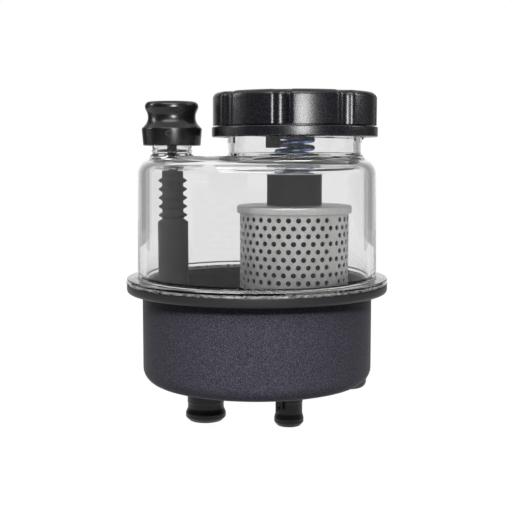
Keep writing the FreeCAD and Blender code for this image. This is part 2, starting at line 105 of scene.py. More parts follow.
def count(name, description, default):
    return IntProperty(name=name, description=description, default=default, min=1)


def angle(name, description, degrees):
    return FloatProperty(name=name, description=description, default=math.radians(degrees), subtype="ANGLE")


class ReservoirSizes(bpy.types.PropertyGroup):
    """Sizes of the dressed pieces, in the solids' own frame."""

    flange_radius: length("Flange radius", "Outside of the bowl's and the cover's flange", 0.080)
    flange_height: length("Flange height", "Thickness of the bowl's flange", 0.0057)
    bowl_radius: length("Bowl radius", "Outside of the bowl's wall", 0.0705)
    bowl_wall: length("Bowl wall", "Thickness of the bowl's wall and floor", 0.003)
    bowl_depth: length("Bowl depth", "From the flange's underside to the floor's underside", 0.0556)
    bowl_round: length("Bowl corner", "Rounding between the wall and the floor", 0.0095)
    rim_bore: length("Rim bore", "Inside of the bowl's rim, above the baffle's ledge", 0.069)
    ledge_drop: length("Ledge drop", "From the flange's top down to the baffle's ledge", 0.0062)
    weld_height: length("Weld rib", "Height of the weld rib on the flange", 0.0003)
    foot_x: length("Foot X", "Place of the foot boss", 0.0575)
    foot_y: length("Foot Y", "Place of the foot boss", 0.012)
    foot_radius: length("Foot radius", "Radius of the foot boss", 0.012)
    foot_height: length("Foot height", "How far the foot boss stands out of the floor", 0.0078)
    foot_round: length("Foot rounding", "Rounding of the foot boss", 0.0045)
    suction_x: length("Suction nipple X", "Place of the suction nipple", -0.032)
    suction_radius: length("Suction nipple", "Radius of its shank", 0.0112)
    suction_bead: length("Suction bead", "Radius of its bead", 0.0125)
    suction_length: length("Suction length", "Length below the floor", 0.0259)
    return_x: length("Return nipple X", "Place of the return nipple", 0.020)
    return_radius: length("Return nipple", "Radius of its shank", 0.0084)
    return_bead: length("Return bead", "Radius of its bead", 0.0092)
    return_length: length("Return length", "Length below the floor", 0.0293)
    nipple_wall: length("Nipple wall", "Wall of both nipples", 0.0024)
    nipple_collar: length("Nipple collar", "Length of the collar at the floor", 0.014)
    tab: length("Tab", "Side of the small tabs on the nipples", 0.0042)
    tab_thickness: length("Tab thickness", "Thickness of the small tabs", 0.002)
    lug_reach: length("Lug reach", "How far the suction nipple's lug stands out", 0.0018)
    collar_step: length("Collar step", "How far the collar stands proud of the shank", 0.00025)
    cover_flange: length("Cover flange", "Thickness of the clear flange", 0.003)
    cover_foot: length("Cover foot", "Outside radius of the clear wall at its foot", 0.0734)
    cover_draft: length("Cover draft", "How much narrower the wall is at the shoulder", 0.0008)
    cover_wall: length("Cover wall", "Thickness of the clear wall", 0.0046)
    cover_height: length("Cover height", "From the weld to the flat top", 0.077)
    shoulder_round: length("Shoulder", "Rounding of the clear shoulder", 0.011)
    filter_x: length("Filter X", "Common axis of cap, neck, spring and filter", 0.023)
    neck_radius: length("Filler neck", "Outside radius of the filler neck", 0.0405)
    neck_wall: length("Filler neck wall", "Wall of the filler neck", 0.003)
    neck_height: length("Filler neck height", "From the flat top to the neck's rim", 0.032)
    neck_pad: length("Neck pad", "Step at the foot of both necks", 0.0014)
    thread_pitch: length("Thread pitch", "Pitch of the filler neck's thread", 0.005)
    thread_depth: length("Thread depth", "How far the thread stands out of the neck", 0.0018)
    gauge_x: length("Dipstick X", "Axis of the dipstick", -0.052)
    gauge_neck: length("Dipstick neck", "Outside radius of the dipstick neck", 0.012)
    gauge_neck_wall: length("Dipstick neck wall", "Wall of the dipstick neck", 0.002)
    gauge_neck_height: length("Dipstick neck height", "From the flat top to the neck's rim", 0.013)
    cap_skirt: length("Cap skirt", "From the neck's rim down to the cap's lower edge", 0.0206)
    cap_top: length("Cap top", "Thickness of the cap's top", 0.0035)
    gasket: length("Cap gasket", "Thickness of the gasket in the cap", 0.0025)
    cap_rim_radius: length("Cap rim", "Radius of the ring under the lobes", 0.0506)
    cap_rim_height: length("Cap rim height", "Height of the ring under the lobes", 0.0062)
    lobe_radius: length("Lobe radius", "Radius over the cap's lobes", 0.0499)
    groove_depth: length("Groove depth", "Depth of the grooves between the lobes", 0.0034)
    groove_round: length("Groove rounding", "Radius of the grooves", 0.005)
    lobe_edge: length("Lobe edge", "Rounding of the lobes' edges", 0.0036)
    rim_gap: length("Rim gap", "Gap between the ring and the lobes", 0.0008)
    thread_room: length("Thread room", "From the neck to the cap's bore", 0.003)
    cap_round: length("Cap rounding", "Rounding of the cap's top edge", 0.0034)
    lobe_count: count("Lobes", "Number of lobes round the cap", 8)
    lobe_phase: angle("Lobe phase", "Place of the first groove, from the front", -10.5)
    spring_radius: length("Spring radius", "Mean radius of the coil", 0.011)
    spring_wire: length("Spring wire", "Diameter of the wire", 0.003)
    spring_pitch: length("Spring pitch", "Rise of one turn", 0.00475)
    screen_holes: count("Screen holes", "Holes in a full row of the filter screen", 36)
    screen_rows: count("Screen rows", "Rows of holes in the filter screen", 10)
    screen_hole: length("Screen hole", "Radius of a hole in the filter screen", 0.00155)
    screen_pitch: length("Screen pitch", "Height from row to row", 0.00465)
    screen_margin: length("Screen margin", "From the top cap's skirt to the first row", 0.0032)
    screen_step: angle("Screen step", "Angle from hole to hole", 10.04)
    screen_seam: angle("Screen seam", "Place of the sheet's lap, from the front", 45.5)


class ReservoirColours(bpy.types.PropertyGroup):
    """Colours of the finishes."""

    bowl: colour("Bowl", "Charcoal plastic of the bowl", (0.026, 0.025, 0.034))
    bowl_speck: colour("Bowl speck", "Lighter specks of the moulded grain", (0.095, 0.091, 0.115))
    # Black of the flange itself; the same black is painted shade on the nipples and the foot under the bowl.
    flange: colour("Flange", "Smooth black of the bowl's flange and nipples", (0.010, 0.010, 0.0115))
    cap: colour("Cap", "Black plastic of the filler cap", (0.0015, 0.0015, 0.0018))
    cap_speck: colour("Cap speck", "Lighter specks of the cap's grain", (0.011, 0.0115, 0.017))
    gauge: colour("Dipstick cap", "Glossy black of the dipstick cap", (0.003, 0.003, 0.0035))
    inner: colour("Inner plastic", "Dark grey of the inner mouldings", (0.012, 0.012, 0.012))
    # The baffle's dark grey moulding, painted darker than the other inner mouldings as shade of the bowl's
    # inside under the cover.
    baffle: colour("Baffle", "Darker grey of the baffle plate", (0.002, 0.002, 0.002))
    clear: colour("Clear plastic", "Tint of the clear cover", (0.90, 0.90, 0.90))
    steel: colour("Filter steel", "Plated sheet of the filter", (0.66, 0.66, 0.65))
    zinc: colour("Spring zinc", "Blue zinc of the spring", (0.012, 0.03, 0.11))
    zinc_light: colour("Spring zinc, light", "Pale patches of the zinc", (0.34, 0.47, 0.74))
    # Near-black pleated paper, which shows through the screen's holes.
    paper: colour("Filter paper", "Oil-dark pleated paper", (0.001, 0.001, 0.001))
    rubber: colour("Rubber", "Seals and gaskets", (0.014, 0.014, 0.014))
    floor: colour("Floor", "Pale studio floor", (0.30, 0.30, 0.30))


def sizes():
    return bpy.context.scene.reservoir_sizes


def colours():
    return bpy.context.scene.reservoir_colours


# Outlines

def rounded(corners, steps=ARC_STEPS):
    """Points of an open outline from corners (radius, height, optional rounding)."""
    points = []
    last = len(corners) - 1
    for index, corner in enumerate(corners):
        here = Vector(corner[:2])
        radius = corner[2] if len(corner) > 2 else 0.0
        if radius <= 0 or index in (0, last):
            points.append(here)
            continue
        to_before = (Vector(corners[index - 1][:2]) - here).normalized()
        to_after = (Vector(corners[index + 1][:2]) - here).normalized()
        half = to_before.angle(to_after) / 2
        middle = (to_before + to_after).normalized()
        centre = here + middle * (radius / math.sin(half))
        start = here + to_before * (radius / math.tan(half)) - centre
        end = here + to_after * (radius / math.tan(half)) - centre
        sweep = start.angle(end)
        for step in range(steps + 1):
            share = step / steps
            weight_start = math.sin((1 - share) * sweep) / math.sin(sweep)
            weight_end = math.sin(share * sweep) / math.sin(sweep)
            points.append(centre + start * weight_start + end * weight_end)
    return points


# Modelling helpers

def deselect():
    if bpy.context.mode != "OBJECT":
        bpy.ops.object.mode_set(mode="OBJECT")
    bpy.ops.object.select_all(action="DESELECT")


def activate(piece):
    deselect()
    piece.select_set(True)
    bpy.context.view_layer.objects.active = piece


def edit(piece):
    activate(piece)
    bpy.ops.object.mode_set(mode="EDIT")
    bpy.ops.mesh.select_all(action="SELECT")


def leave_edit():
    bpy.ops.object.mode_set(mode="OBJECT")


def name_piece(name):
    piece = bpy.context.object
    piece.name = name
    piece.data.name = name
    bpy.ops.object.transform_apply(location=True, rotation=True, scale=True)
    return piece


def close_skin():
    bpy.ops.mesh.select_all(action="SELECT")
    bpy.ops.mesh.remove_doubles(threshold=MERGE)
    bpy.ops.mesh.normals_make_consistent(inside=False)


def wire(name, points):
    """A chain of edges through the points, left in edit mode with all of it selected."""
    deselect()
    bpy.ops.mesh.primitive_plane_add(size=DOT, location=points[0])
    piece = name_piece(name)
    edit(piece)
    bpy.ops.mesh.merge(type="CENTER")
    for before, after in zip(points, points[1:]):
        bpy.ops.mesh.extrude_region_move(TRANSFORM_OT_translate={"value": after - before})
    bpy.ops.mesh.select_all(action="SELECT")
    bpy.ops.mesh.remove_doubles(threshold=MERGE)
    bpy.ops.mesh.select_all(action="SELECT")
    return piece


def turned(name, outline, axis_x=0.0, axis_y=0.0, steps=TURN_STEPS, ring=False):
    """A piece spun from an outline of (radius, height) points; a ring's outline closes on itself."""
    points = [Vector((axis_x + r, axis_y, z)) for r, z in outline]
    if ring:
        points.append(points[0].copy())
    piece = wire(name, points)
    bpy.ops.mesh.spin(
        steps=steps, angle=2 * math.pi, center=(axis_x, axis_y, 0), axis=UP, use_auto_merge=True,
    )
    close_skin()
    leave_edit()
    return piece


def tube(name, inner, outer, low, high, axis_x=0.0, steps=NECK_STEPS):
    return turned(name, [(inner, low), (outer, low), (outer, high), (inner, high)], axis_x, 0.0, steps, True)


def rod(name, radius, low, high, axis_x=0.0, axis_y=0.0, steps=NECK_STEPS):
    deselect()
    bpy.ops.mesh.primitive_cylinder_add(
        vertices=steps, radius=radius, depth=high - low, location=(axis_x, axis_y, (low + high) / 2),
    )
    return name_piece(name)


def block(name, low, high):
    deselect()
    middle = (Vector(low) + Vector(high)) / 2
    bpy.ops.mesh.primitive_cube_add(size=1.0, location=middle, scale=Vector(high) - Vector(low))
    return name_piece(name)


def cross_rod(name, radius, depth, place, steps):
    """A round rod that lies from front to back."""
    deselect()
    bpy.ops.mesh.primitive_cylinder_add(
        vertices=steps, radius=radius, depth=depth, location=place, rotation=ALONG_Y,
    )
    return name_piece(name)


def apply_modifier(piece, modifier):
    activate(piece)
    bpy.ops.object.modifier_apply(modifier=modifier.name)


def combine(piece, tool, operation):
    modifier = piece.modifiers.new("combine", "BOOLEAN")
    modifier.operation = operation
    modifier.solver = "EXACT"
    modifier.object = tool
    apply_modifier(piece, modifier)
    bpy.data.objects.remove(tool, do_unlink=True)


def wind(piece, pitch, turns, steps):
    """Winds a section round the common axis of cap, spring and filter."""
    screw = piece.modifiers.new("wind", "SCREW")
    screw.axis = "Z"
    screw.steps = steps
    screw.render_steps = steps
    screw.screw_offset = pitch
    screw.iterations = turns
    apply_modifier(piece, screw)
    piece.location.x = sizes().filter_x
    activate(piece)
    bpy.ops.object.transform_apply(location=True)


def smooth(piece):
    activate(piece)
    bpy.ops.object.shade_smooth_by_angle(angle=SMOOTH_ANGLE)


def finish_piece(piece, finish, slot, body, *nodes):
    smooth(piece)
    piece.data.materials.clear()
    piece.data.materials.append(FINISHES[finish])
    if body:
        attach(piece, body)
    if nodes:
        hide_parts(*nodes)
    deselect()


# Finishes

def new_finish(name):
    finish = bpy.data.materials.new(name)
    finish.use_nodes = True
    return finish, finish.node_tree.nodes, finish.node_tree.links, finish.node_tree.nodes["Principled BSDF"]


def noise(nodes, links, scale, detail, stretch=(1, 1, 1)):
    where = nodes.new("ShaderNodeTexCoord")
    mapping = nodes.new("ShaderNodeMapping")
    mapping.inputs["Scale"].default_value = stretch
    texture = nodes.new("ShaderNodeTexNoise")
    texture.inputs["Scale"].default_value = scale
    texture.inputs["Detail"].default_value = detail
    links.new(where.outputs["Object"], mapping.inputs["Vector"])
    links.new(mapping.outputs["Vector"], texture.inputs["Vector"])
    return texture


def ramp(nodes, links, factor, stops):
    node = nodes.new("ShaderNodeValToRGB")
    for index, (place, tone) in enumerate(stops):
        if index > 1:
            node.color_ramp.elements.new(place)
        stop = node.color_ramp.elements[index]
        stop.position = place
        stop.color = (*tone, 1.0)
    links.new(factor, node.inputs["Fac"])
    return node


def bump(nodes, links, height, distance, strength, shader):
    node = nodes.new("ShaderNodeBump")
    node.inputs["Distance"].default_value = distance
    node.inputs["Strength"].default_value = strength
    links.new(height, node.inputs["Height"])
    links.new(node.outputs["Normal"], shader.inputs["Normal"])


def vary(nodes, links, value, low, high, socket):
    node = nodes.new("ShaderNodeMapRange")
    node.inputs["To Min"].default_value = low
    node.inputs["To Max"].default_value = high
    links.new(value, node.inputs["Value"])
    links.new(node.outputs["Result"], socket)


def vary_roughness(nodes, links, texture, low, high, shader):
    vary(nodes, links, texture.outputs["Fac"], low, high, shader.inputs["Roughness"])


def patterned(name, texture, stops, roughness, relief, levels):
    """A finish whose colour, roughness and relief follow one noise.

    texture is the noise's scale, detail and stretch, and relief is its depth and strength.
    """
    finish, nodes, links, shader = new_finish(name)
    grain = noise(nodes, links, *texture)
    tones = ramp(nodes, links, grain.outputs["Fac"], stops)
    links.new(tones.outputs["Color"], shader.inputs["Base Color"])
    vary_roughness(nodes, links, grain, *roughness, shader)
    bump(nodes, links, grain.outputs["Fac"], *relief, shader)
    for socket, level in levels.items():
        shader.inputs[socket].default_value = level
    return finish


def specks(base, speck):
    """The spark grain's colours, from the base to the lighter specks."""
    return [(0.42, tuple(base)), (0.78, tuple(speck))]


def cap_plastic():
    """Black moulded plastic with a fine spark grain."""
    tint = colours()
    return patterned(
        "cap_grain", texture=(GRAIN_SCALE, GRAIN_DETAIL), stops=specks(tint.cap, tint.cap_speck),
        roughness=(0.20, 0.34), relief=(0.00006, GRAIN_STRENGTH), levels={"Specular IOR Level": SHEEN},
    )


def bowl_plastic():
    """Grained wall, with a smooth black flange above it; below the floor the smooth nipples and the foot are
    black as painted shade.
    """
    size = sizes()
    smooth_sheen, wall_sheen = 0.35, 0.04
    floor_margin = 0.0008
    flange_place = 0.499
    finish, nodes, links, shader = new_finish("bowl_grain")
    fine = noise(nodes, links, GRAIN_SCALE, GRAIN_DETAIL)
    tones = ramp(nodes, links, fine.outputs["Fac"], specks(colours().bowl, colours().bowl_speck))
    where = nodes.new("ShaderNodeTexCoord")
    split = nodes.new("ShaderNodeSeparateXYZ")
    height = nodes.new("ShaderNodeMapRange")
    height.inputs["From Min"].default_value = -2 * size.bowl_depth
    height.inputs["From Max"].default_value = 2 * size.bowl_depth
    links.new(where.outputs["Object"], split.inputs[0])
    links.new(split.outputs["Z"], height.inputs["Value"])
    # Zones by height: black below the floor is painted shade on the nipples and the foot, grain on the wall,
    # and the flange's own black at the top.
    wall_place = 0.5 - (size.bowl_depth + floor_margin) / (4 * size.bowl_depth)
    flange_and_shade_zones = ramp(nodes, links, height.outputs["Result"],
                 [(0.0, (0, 0, 0)), (wall_place, (1, 1, 1)), (flange_place, (0, 0, 0))])
    flange_and_shade_zones.color_ramp.interpolation = "CONSTANT"
    mix = nodes.new("ShaderNodeMix")
    mix.data_type = "RGBA"
    mix.inputs["A"].default_value = (*colours().flange, 1.0)
    links.new(flange_and_shade_zones.outputs["Color"], mix.inputs["Factor"])
    links.new(tones.outputs["Color"], mix.inputs["B"])
    links.new(mix.outputs["Result"], shader.inputs["Base Color"])
    vary_roughness(nodes, links, fine, 0.34, 0.58, shader)
    vary(nodes, links, flange_and_shade_zones.outputs["Color"], smooth_sheen, wall_sheen, shader.inputs["Specular IOR Level"])
    relief = nodes.new("ShaderNodeMath")
    relief.operation = "MULTIPLY"
    links.new(flange_and_shade_zones.outputs["Color"], relief.inputs[0])
    links.new(fine.outputs["Fac"], relief.inputs[1])
    bump(nodes, links, relief.outputs[0], 0.00018, GRAIN_STRENGTH, shader)
    return finish


def smooth_plastic(name, base, roughness, wave_scale, depth, sheen):
    """Plain moulded plastic with faint flow marks."""
    lighter = tuple(min(1.0, tone * 1.35 + 0.002) for tone in base)
    return patterned(
        name, texture=(wave_scale, 3.0), stops=[(0.35, tuple(base)), (0.75, lighter)],
        roughness=roughness, relief=(depth, 0.3), levels={"Specular IOR Level": sheen},
    )


def clear_plastic():
    """Clear plastic with a trace of haze."""
    finish, nodes, links, shader = new_finish("clear_cover_plastic")
    shader.inputs["Base Color"].default_value = (*colours().clear, 1.0)
    shader.inputs["Transmission Weight"].default_value = 1.0
    shader.inputs["IOR"].default_value = CLEAR_IOR
    haze = noise(nodes, links, 60.0, 2.0)
    vary_roughness(nodes, links, haze, 0.0, 0.03, shader)
    bump(nodes, links, haze.outputs["Fac"], 0.00005, 0.15, shader)
    return finish


def weld_plastic():
    """Half-clear plastic, uneven where the weld squeezed it out."""
    dark, pale = (0.10, 0.10, 0.10), (0.80, 0.79, 0.78)
    return patterned(
        "weld_flash_plastic", texture=(420.0, 3.0), stops=[(0.35, dark), (0.65, pale)],
        roughness=(0.08, 0.3), relief=(0.0003, 0.6), levels={"Transmission Weight": 0.45, "IOR": CLEAR_IOR},
    )


def plated_sheet():
    """Plated steel sheet with faint upright streaks."""
    base = tuple(colours().steel)
    darker = tuple(tone * 0.82 for tone in base)
    upright = (1, 1, 0.15)
    return patterned(
        "filter_sheet", texture=(260.0, 5.0, upright), stops=[(0.3, darker), (0.7, base)],
        roughness=(0.38, 0.55), relief=(0.00004, 0.25), levels={"Metallic": 0.75},
    )


def zinc_plate():
    """Blue zinc with paler patches."""
    tint = colours()
    return patterned(
        "spring_zinc", texture=(180.0, 4.0), stops=[(0.4, tuple(tint.zinc)), (0.68, tuple(tint.zinc_light))],
        roughness=(0.12, 0.26), relief=(0.00003, 0.3), levels={"Metallic": 1.0},
    )


FINISHES = {}


def make_finishes():
    tint = colours()
    FINISHES["bowl"] = bowl_plastic()
    FINISHES["cap"] = cap_plastic()
    for key, name, base, roughness, wave_scale, depth, sheen in (
        ("gauge", "gauge_gloss", tint.gauge, (0.20, 0.30), 120.0, 0.00004, SHEEN),
        ("inner", "inner_moulding", tint.inner, (0.5, 0.68), 240.0, 0.00008, 0.2),
        # The baffle's near-black is painted shade.
        ("baffle", "baffle_painted_shade", tint.baffle, (0.5, 0.7), 240.0, 0.00008, 0.0),
        ("paper", "near_black_paper", tint.paper, (0.7, 0.9), 900.0, 0.0001, 0.05),
        ("rubber", "seal_rubber", tint.rubber, (0.55, 0.75), 500.0, 0.00006, SHEEN),
    ):
        FINISHES[key] = smooth_plastic(name, base, roughness, wave_scale, depth, sheen)
    FINISHES["clear"] = clear_plastic()
    FINISHES["flash"] = weld_plastic()
    FINISHES["steel"] = plated_sheet()
    FINISHES["zinc"] = zinc_plate()


# Pieces

def nipple(name, axis_x, radius, bead, long):
    size = sizes()
    lead_in, land_length, bead_back, collar_ease = 0.0024, 0.0026, 0.003, 0.0008
    floor = -size.bowl_depth
    tip = floor - long
    land = tip + lead_in
    land_top = land + land_length
    collar = floor - size.nipple_collar
    proud = radius + size.collar_step
    return turned(name, rounded([
        (0, floor + OVERLAP),
        (proud, floor + OVERLAP),
        (proud, collar, 0.0007),
        (radius, collar - collar_ease, 0.0006),
        (radius, land_top + bead_back, 0.004),
        (bead, land_top, 0.0012),
        (bead, land, 0.0014),
        (radius - size.nipple_wall / 2, tip, 0.001),
        (0, tip),
    ]), axis_x, 0.0, NIPPLE_STEPS)


def nipple_bore(name, axis_x, radius, long):
    size = sizes()
    past_floor = 0.001
    into_bowl = size.bowl_wall - size.bowl_depth + past_floor
    return rod(name + "_bore", radius - size.nipple_wall, -size.bowl_depth - long - CUT_MARGIN, into_bowl,
               axis_x, 0.0, NIPPLE_STEPS)


class RESERVOIR_OT_bowl(bpy.types.Operator):
    """Model the bowl with its flange, nipples and foot"""
    bl_idname = "reservoir.bowl"
    bl_label = "Bowl"

    def execute(self, context):
        size = sizes()
        socket_bore, socket_wall, socket_depth = 0.00908, 0.0038, 0.008
        weld_half = 0.0012
        foot_steps = 64
        floor = -size.bowl_depth
        inside = size.bowl_radius - size.bowl_wall
        inner_floor = floor + size.bowl_wall
        ledge = size.flange_height - size.ledge_drop
        bowl = turned("bowl_shell", rounded([
            (0, size.flange_height),
            (size.flange_radius, size.flange_height, 0.0005),
            (size.flange_radius, 0, 0.0022),
            (size.bowl_radius, 0, 0.0004),
            (size.bowl_radius, floor, size.bowl_round),
            (0, floor),
        ]))
        foot_low = floor - size.foot_height
        combine(bowl, turned("foot", rounded([
            (0, inner_floor),
            (size.foot_radius, inner_floor + size.bowl_round),
            (size.foot_radius, foot_low, size.foot_round),
            (0, foot_low),
        ]), size.foot_x, size.foot_y, foot_steps), "UNION")
        combine(bowl, turned("cavity", rounded([
            (0, size.flange_height + CUT_MARGIN),
            (size.rim_bore, size.flange_height + CUT_MARGIN),
            (size.rim_bore, ledge),
            (inside, ledge),
            (inside, inner_floor, size.bowl_round - size.bowl_wall),
            (0, inner_floor),
        ])), "DIFFERENCE")
        for name, axis_x, radius, bead, long in (
            ("suction", size.suction_x, size.suction_radius, size.suction_bead, size.suction_length),
            ("return", size.return_x, size.return_radius, size.return_bead, size.return_length),
        ):
            combine(bowl, nipple(name, axis_x, radius, bead, long), "UNION")
            combine(bowl, nipple_bore(name, axis_x, radius, long), "DIFFERENCE")
        socket = tube("socket", socket_bore, socket_bore + socket_wall, inner_floor - OVERLAP,
                      inner_floor + socket_depth, size.filter_x)
        combine(bowl, socket, "UNION")
        rib = (size.rim_bore + size.flange_radius) / 2
        combine(bowl, tube("weld_rib", rib - weld_half, rib + weld_half, size.flange_height - OVERLAP,
                           size.flange_height + size.weld_height, 0.0, TURN_STEPS), "UNION")
        combine(bowl, self.tab(floor), "UNION")
        return_bore = nipple_bore("return", size.return_x, size.return_radius, size.return_length)
        combine(bowl, return_bore, "DIFFERENCE")
        lug_x = size.suction_x - size.suction_radius
        lug = block("lug", (lug_x - size.lug_reach, -size.tab_thickness / 2, floor - size.nipple_collar / 2),
                    (lug_x, size.tab_thickness / 2, floor + OVERLAP))
        combine(bowl, lug, "UNION")
        finish_piece(bowl, "bowl", "bowl_plastic", "housing", "bowl")
        return {"FINISHED"}

    def tab(self, floor):
        """The small pierced tab on the return nipple."""
        size = sizes()
        hole_steps, hole_depth = 24, 0.05
        left = size.return_x - size.return_radius
        low = floor - size.nipple_collar - size.tab
        half = size.tab / 2
        tab = block("tab", (left, -size.return_radius - size.tab_thickness, low),
                    (left + size.tab, 0, floor + OVERLAP))
        hole = cross_rod("tab_hole", size.tab / 6, hole_depth, (left + half, 0, low + half), hole_steps)
        combine(tab, hole, "DIFFERENCE")
        return tab


class RESERVOIR_OT_clear_cover(bpy.types.Operator):
    """Model the clear cover with its two necks and the thread under the cap"""
    bl_idname = "reservoir.clear_cover"
    bl_label = "Clear cover"

    def execute(self, context):
        size = sizes()
        shoulder_steps = 12
        weld = size.flange_height + size.weld_height
        flange_top = weld + size.cover_flange
        top = weld + size.cover_height
        wall_top = size.cover_foot - size.cover_draft
        inner_top = top - size.cover_wall
        cover = turned("cover_shell", rounded([
            (0, inner_top),
            (wall_top - size.cover_wall, inner_top, size.shoulder_round - size.cover_wall),
            (size.cover_foot - size.cover_wall, weld),
            (size.flange_radius, weld, 0.0004),
            (size.flange_radius, flange_top, 0.0007),
            (size.cover_foot, flange_top, 0.0014),
            (wall_top, top, size.shoulder_round),
            (0, top),
        ], shoulder_steps))
        necks = (
            ("filler", size.filter_x, size.neck_radius, size.neck_wall, size.neck_height, TURN_STEPS),
            ("gauge", size.gauge_x, size.gauge_neck, size.gauge_neck_wall, size.gauge_neck_height,
             NIPPLE_STEPS),
        )
        for name, axis_x, radius, wall, tall, steps in necks:
            rim = top + tall
            neck = turned(name + "_neck", rounded([
                (0, inner_top + OVERLAP),
                (radius + size.neck_pad, inner_top + OVERLAP),
                (radius + size.neck_pad, top + 0.0002, 0.0004),
                (radius, top + size.neck_pad, 0.001),
                (radius, rim, 0.0005),
                (0, rim),
            ]), axis_x, 0.0, steps)
            combine(cover, neck, "UNION")
            bore = rod(name + "_bore", radius - wall, inner_top - 2 * CUT_MARGIN, rim + CUT_MARGIN,
                       axis_x, 0.0, steps)
            combine(cover, bore, "DIFFERENCE")
        combine(cover, self.snap_bead(top), "UNION")
        for lug in self.stop_lugs(top + size.neck_height - size.cap_skirt):
            combine(cover, lug, "UNION")
        finish_piece(cover, "clear", "clear_plastic", "housing", "clear_cover")
        self.thread(top + size.neck_height)
        self.weld_flash(weld)
        return {"FINISHED"}

    def snap_bead(self, top):
        """The bead that the dipstick's cap snaps over."""
        rise, half, proud = 0.0031, 0.001, 0.0006
        radius = sizes().gauge_neck
        bead = top + rise
        return turned("snap_bead", [
            (radius - OVERLAP, bead - half),
            (radius, bead - half),
            (radius + proud, bead),
            (radius, bead + half),
            (radius - OVERLAP, bead + half),
        ], sizes().gauge_x, 0.0, NIPPLE_STEPS, True)

    def stop_lugs(self, cap_edge):
        """The small lugs on the filler neck, under the cap's edge."""
        size = sizes()
        clearance, half, tall = 0.0004, 0.0025, 0.0034
        front = -size.neck_radius
        lug_top = cap_edge - clearance
        for turn in (61, -66):
            lug = block("stop_lug", (-half, front - size.thread_room, lug_top - tall),
                        (half, front + OVERLAP, lug_top))
            lug.rotation_euler.z = math.radians(turn)
            lug.location.x = size.filter_x
            activate(lug)
            bpy.ops.object.transform_apply(location=True, rotation=True, scale=True)
            yield lug

    def thread(self, rim):
        """The screw thread round the filler neck."""
        size = sizes()
        turns = 4
        lead, flank, land, sunk = 0.0025, 0.0008, 0.0006, 0.0004
        start = rim - lead - turns * size.thread_pitch
        root = size.neck_radius - sunk
        crest = size.neck_radius + size.thread_depth
        section = [(root, 0), (crest, flank), (crest, flank + land), (root, 2 * flank + land), (root, 0)]
        thread = wire("filler_thread", [Vector((radius, 0, start + rise)) for radius, rise in section])
        leave_edit()
        wind(thread, size.thread_pitch, turns, NECK_STEPS)
        edit(thread)
        bpy.ops.mesh.select_all(action="DESELECT")
        bpy.ops.mesh.select_non_manifold()
        bpy.ops.mesh.fill()
        close_skin()
        leave_edit()
        finish_piece(thread, "clear", "clear_plastic", "housing")

    def weld_flash(self, weld):
        """The uneven bead that the weld pressed out between the two flanges."""
        edge = sizes().flange_radius
        steps, unevenness = 300, 0.0004
        flash = turned("weld_flash", [
            (edge - 0.0022, weld - 0.0001),
            (edge - 0.0004, weld - 0.0006),
            (edge + 0.0002, weld),
            (edge - 0.0002, weld + 0.0009),
            (edge - 0.0014, weld + 0.0011),
        ], 0.0, 0.0, steps, True)
        edit(flash)
        bpy.ops.transform.vertex_random(offset=unevenness, seed=4)
        close_skin()
        leave_edit()
        finish_piece(flash, "flash", "clear_plastic", "housing")


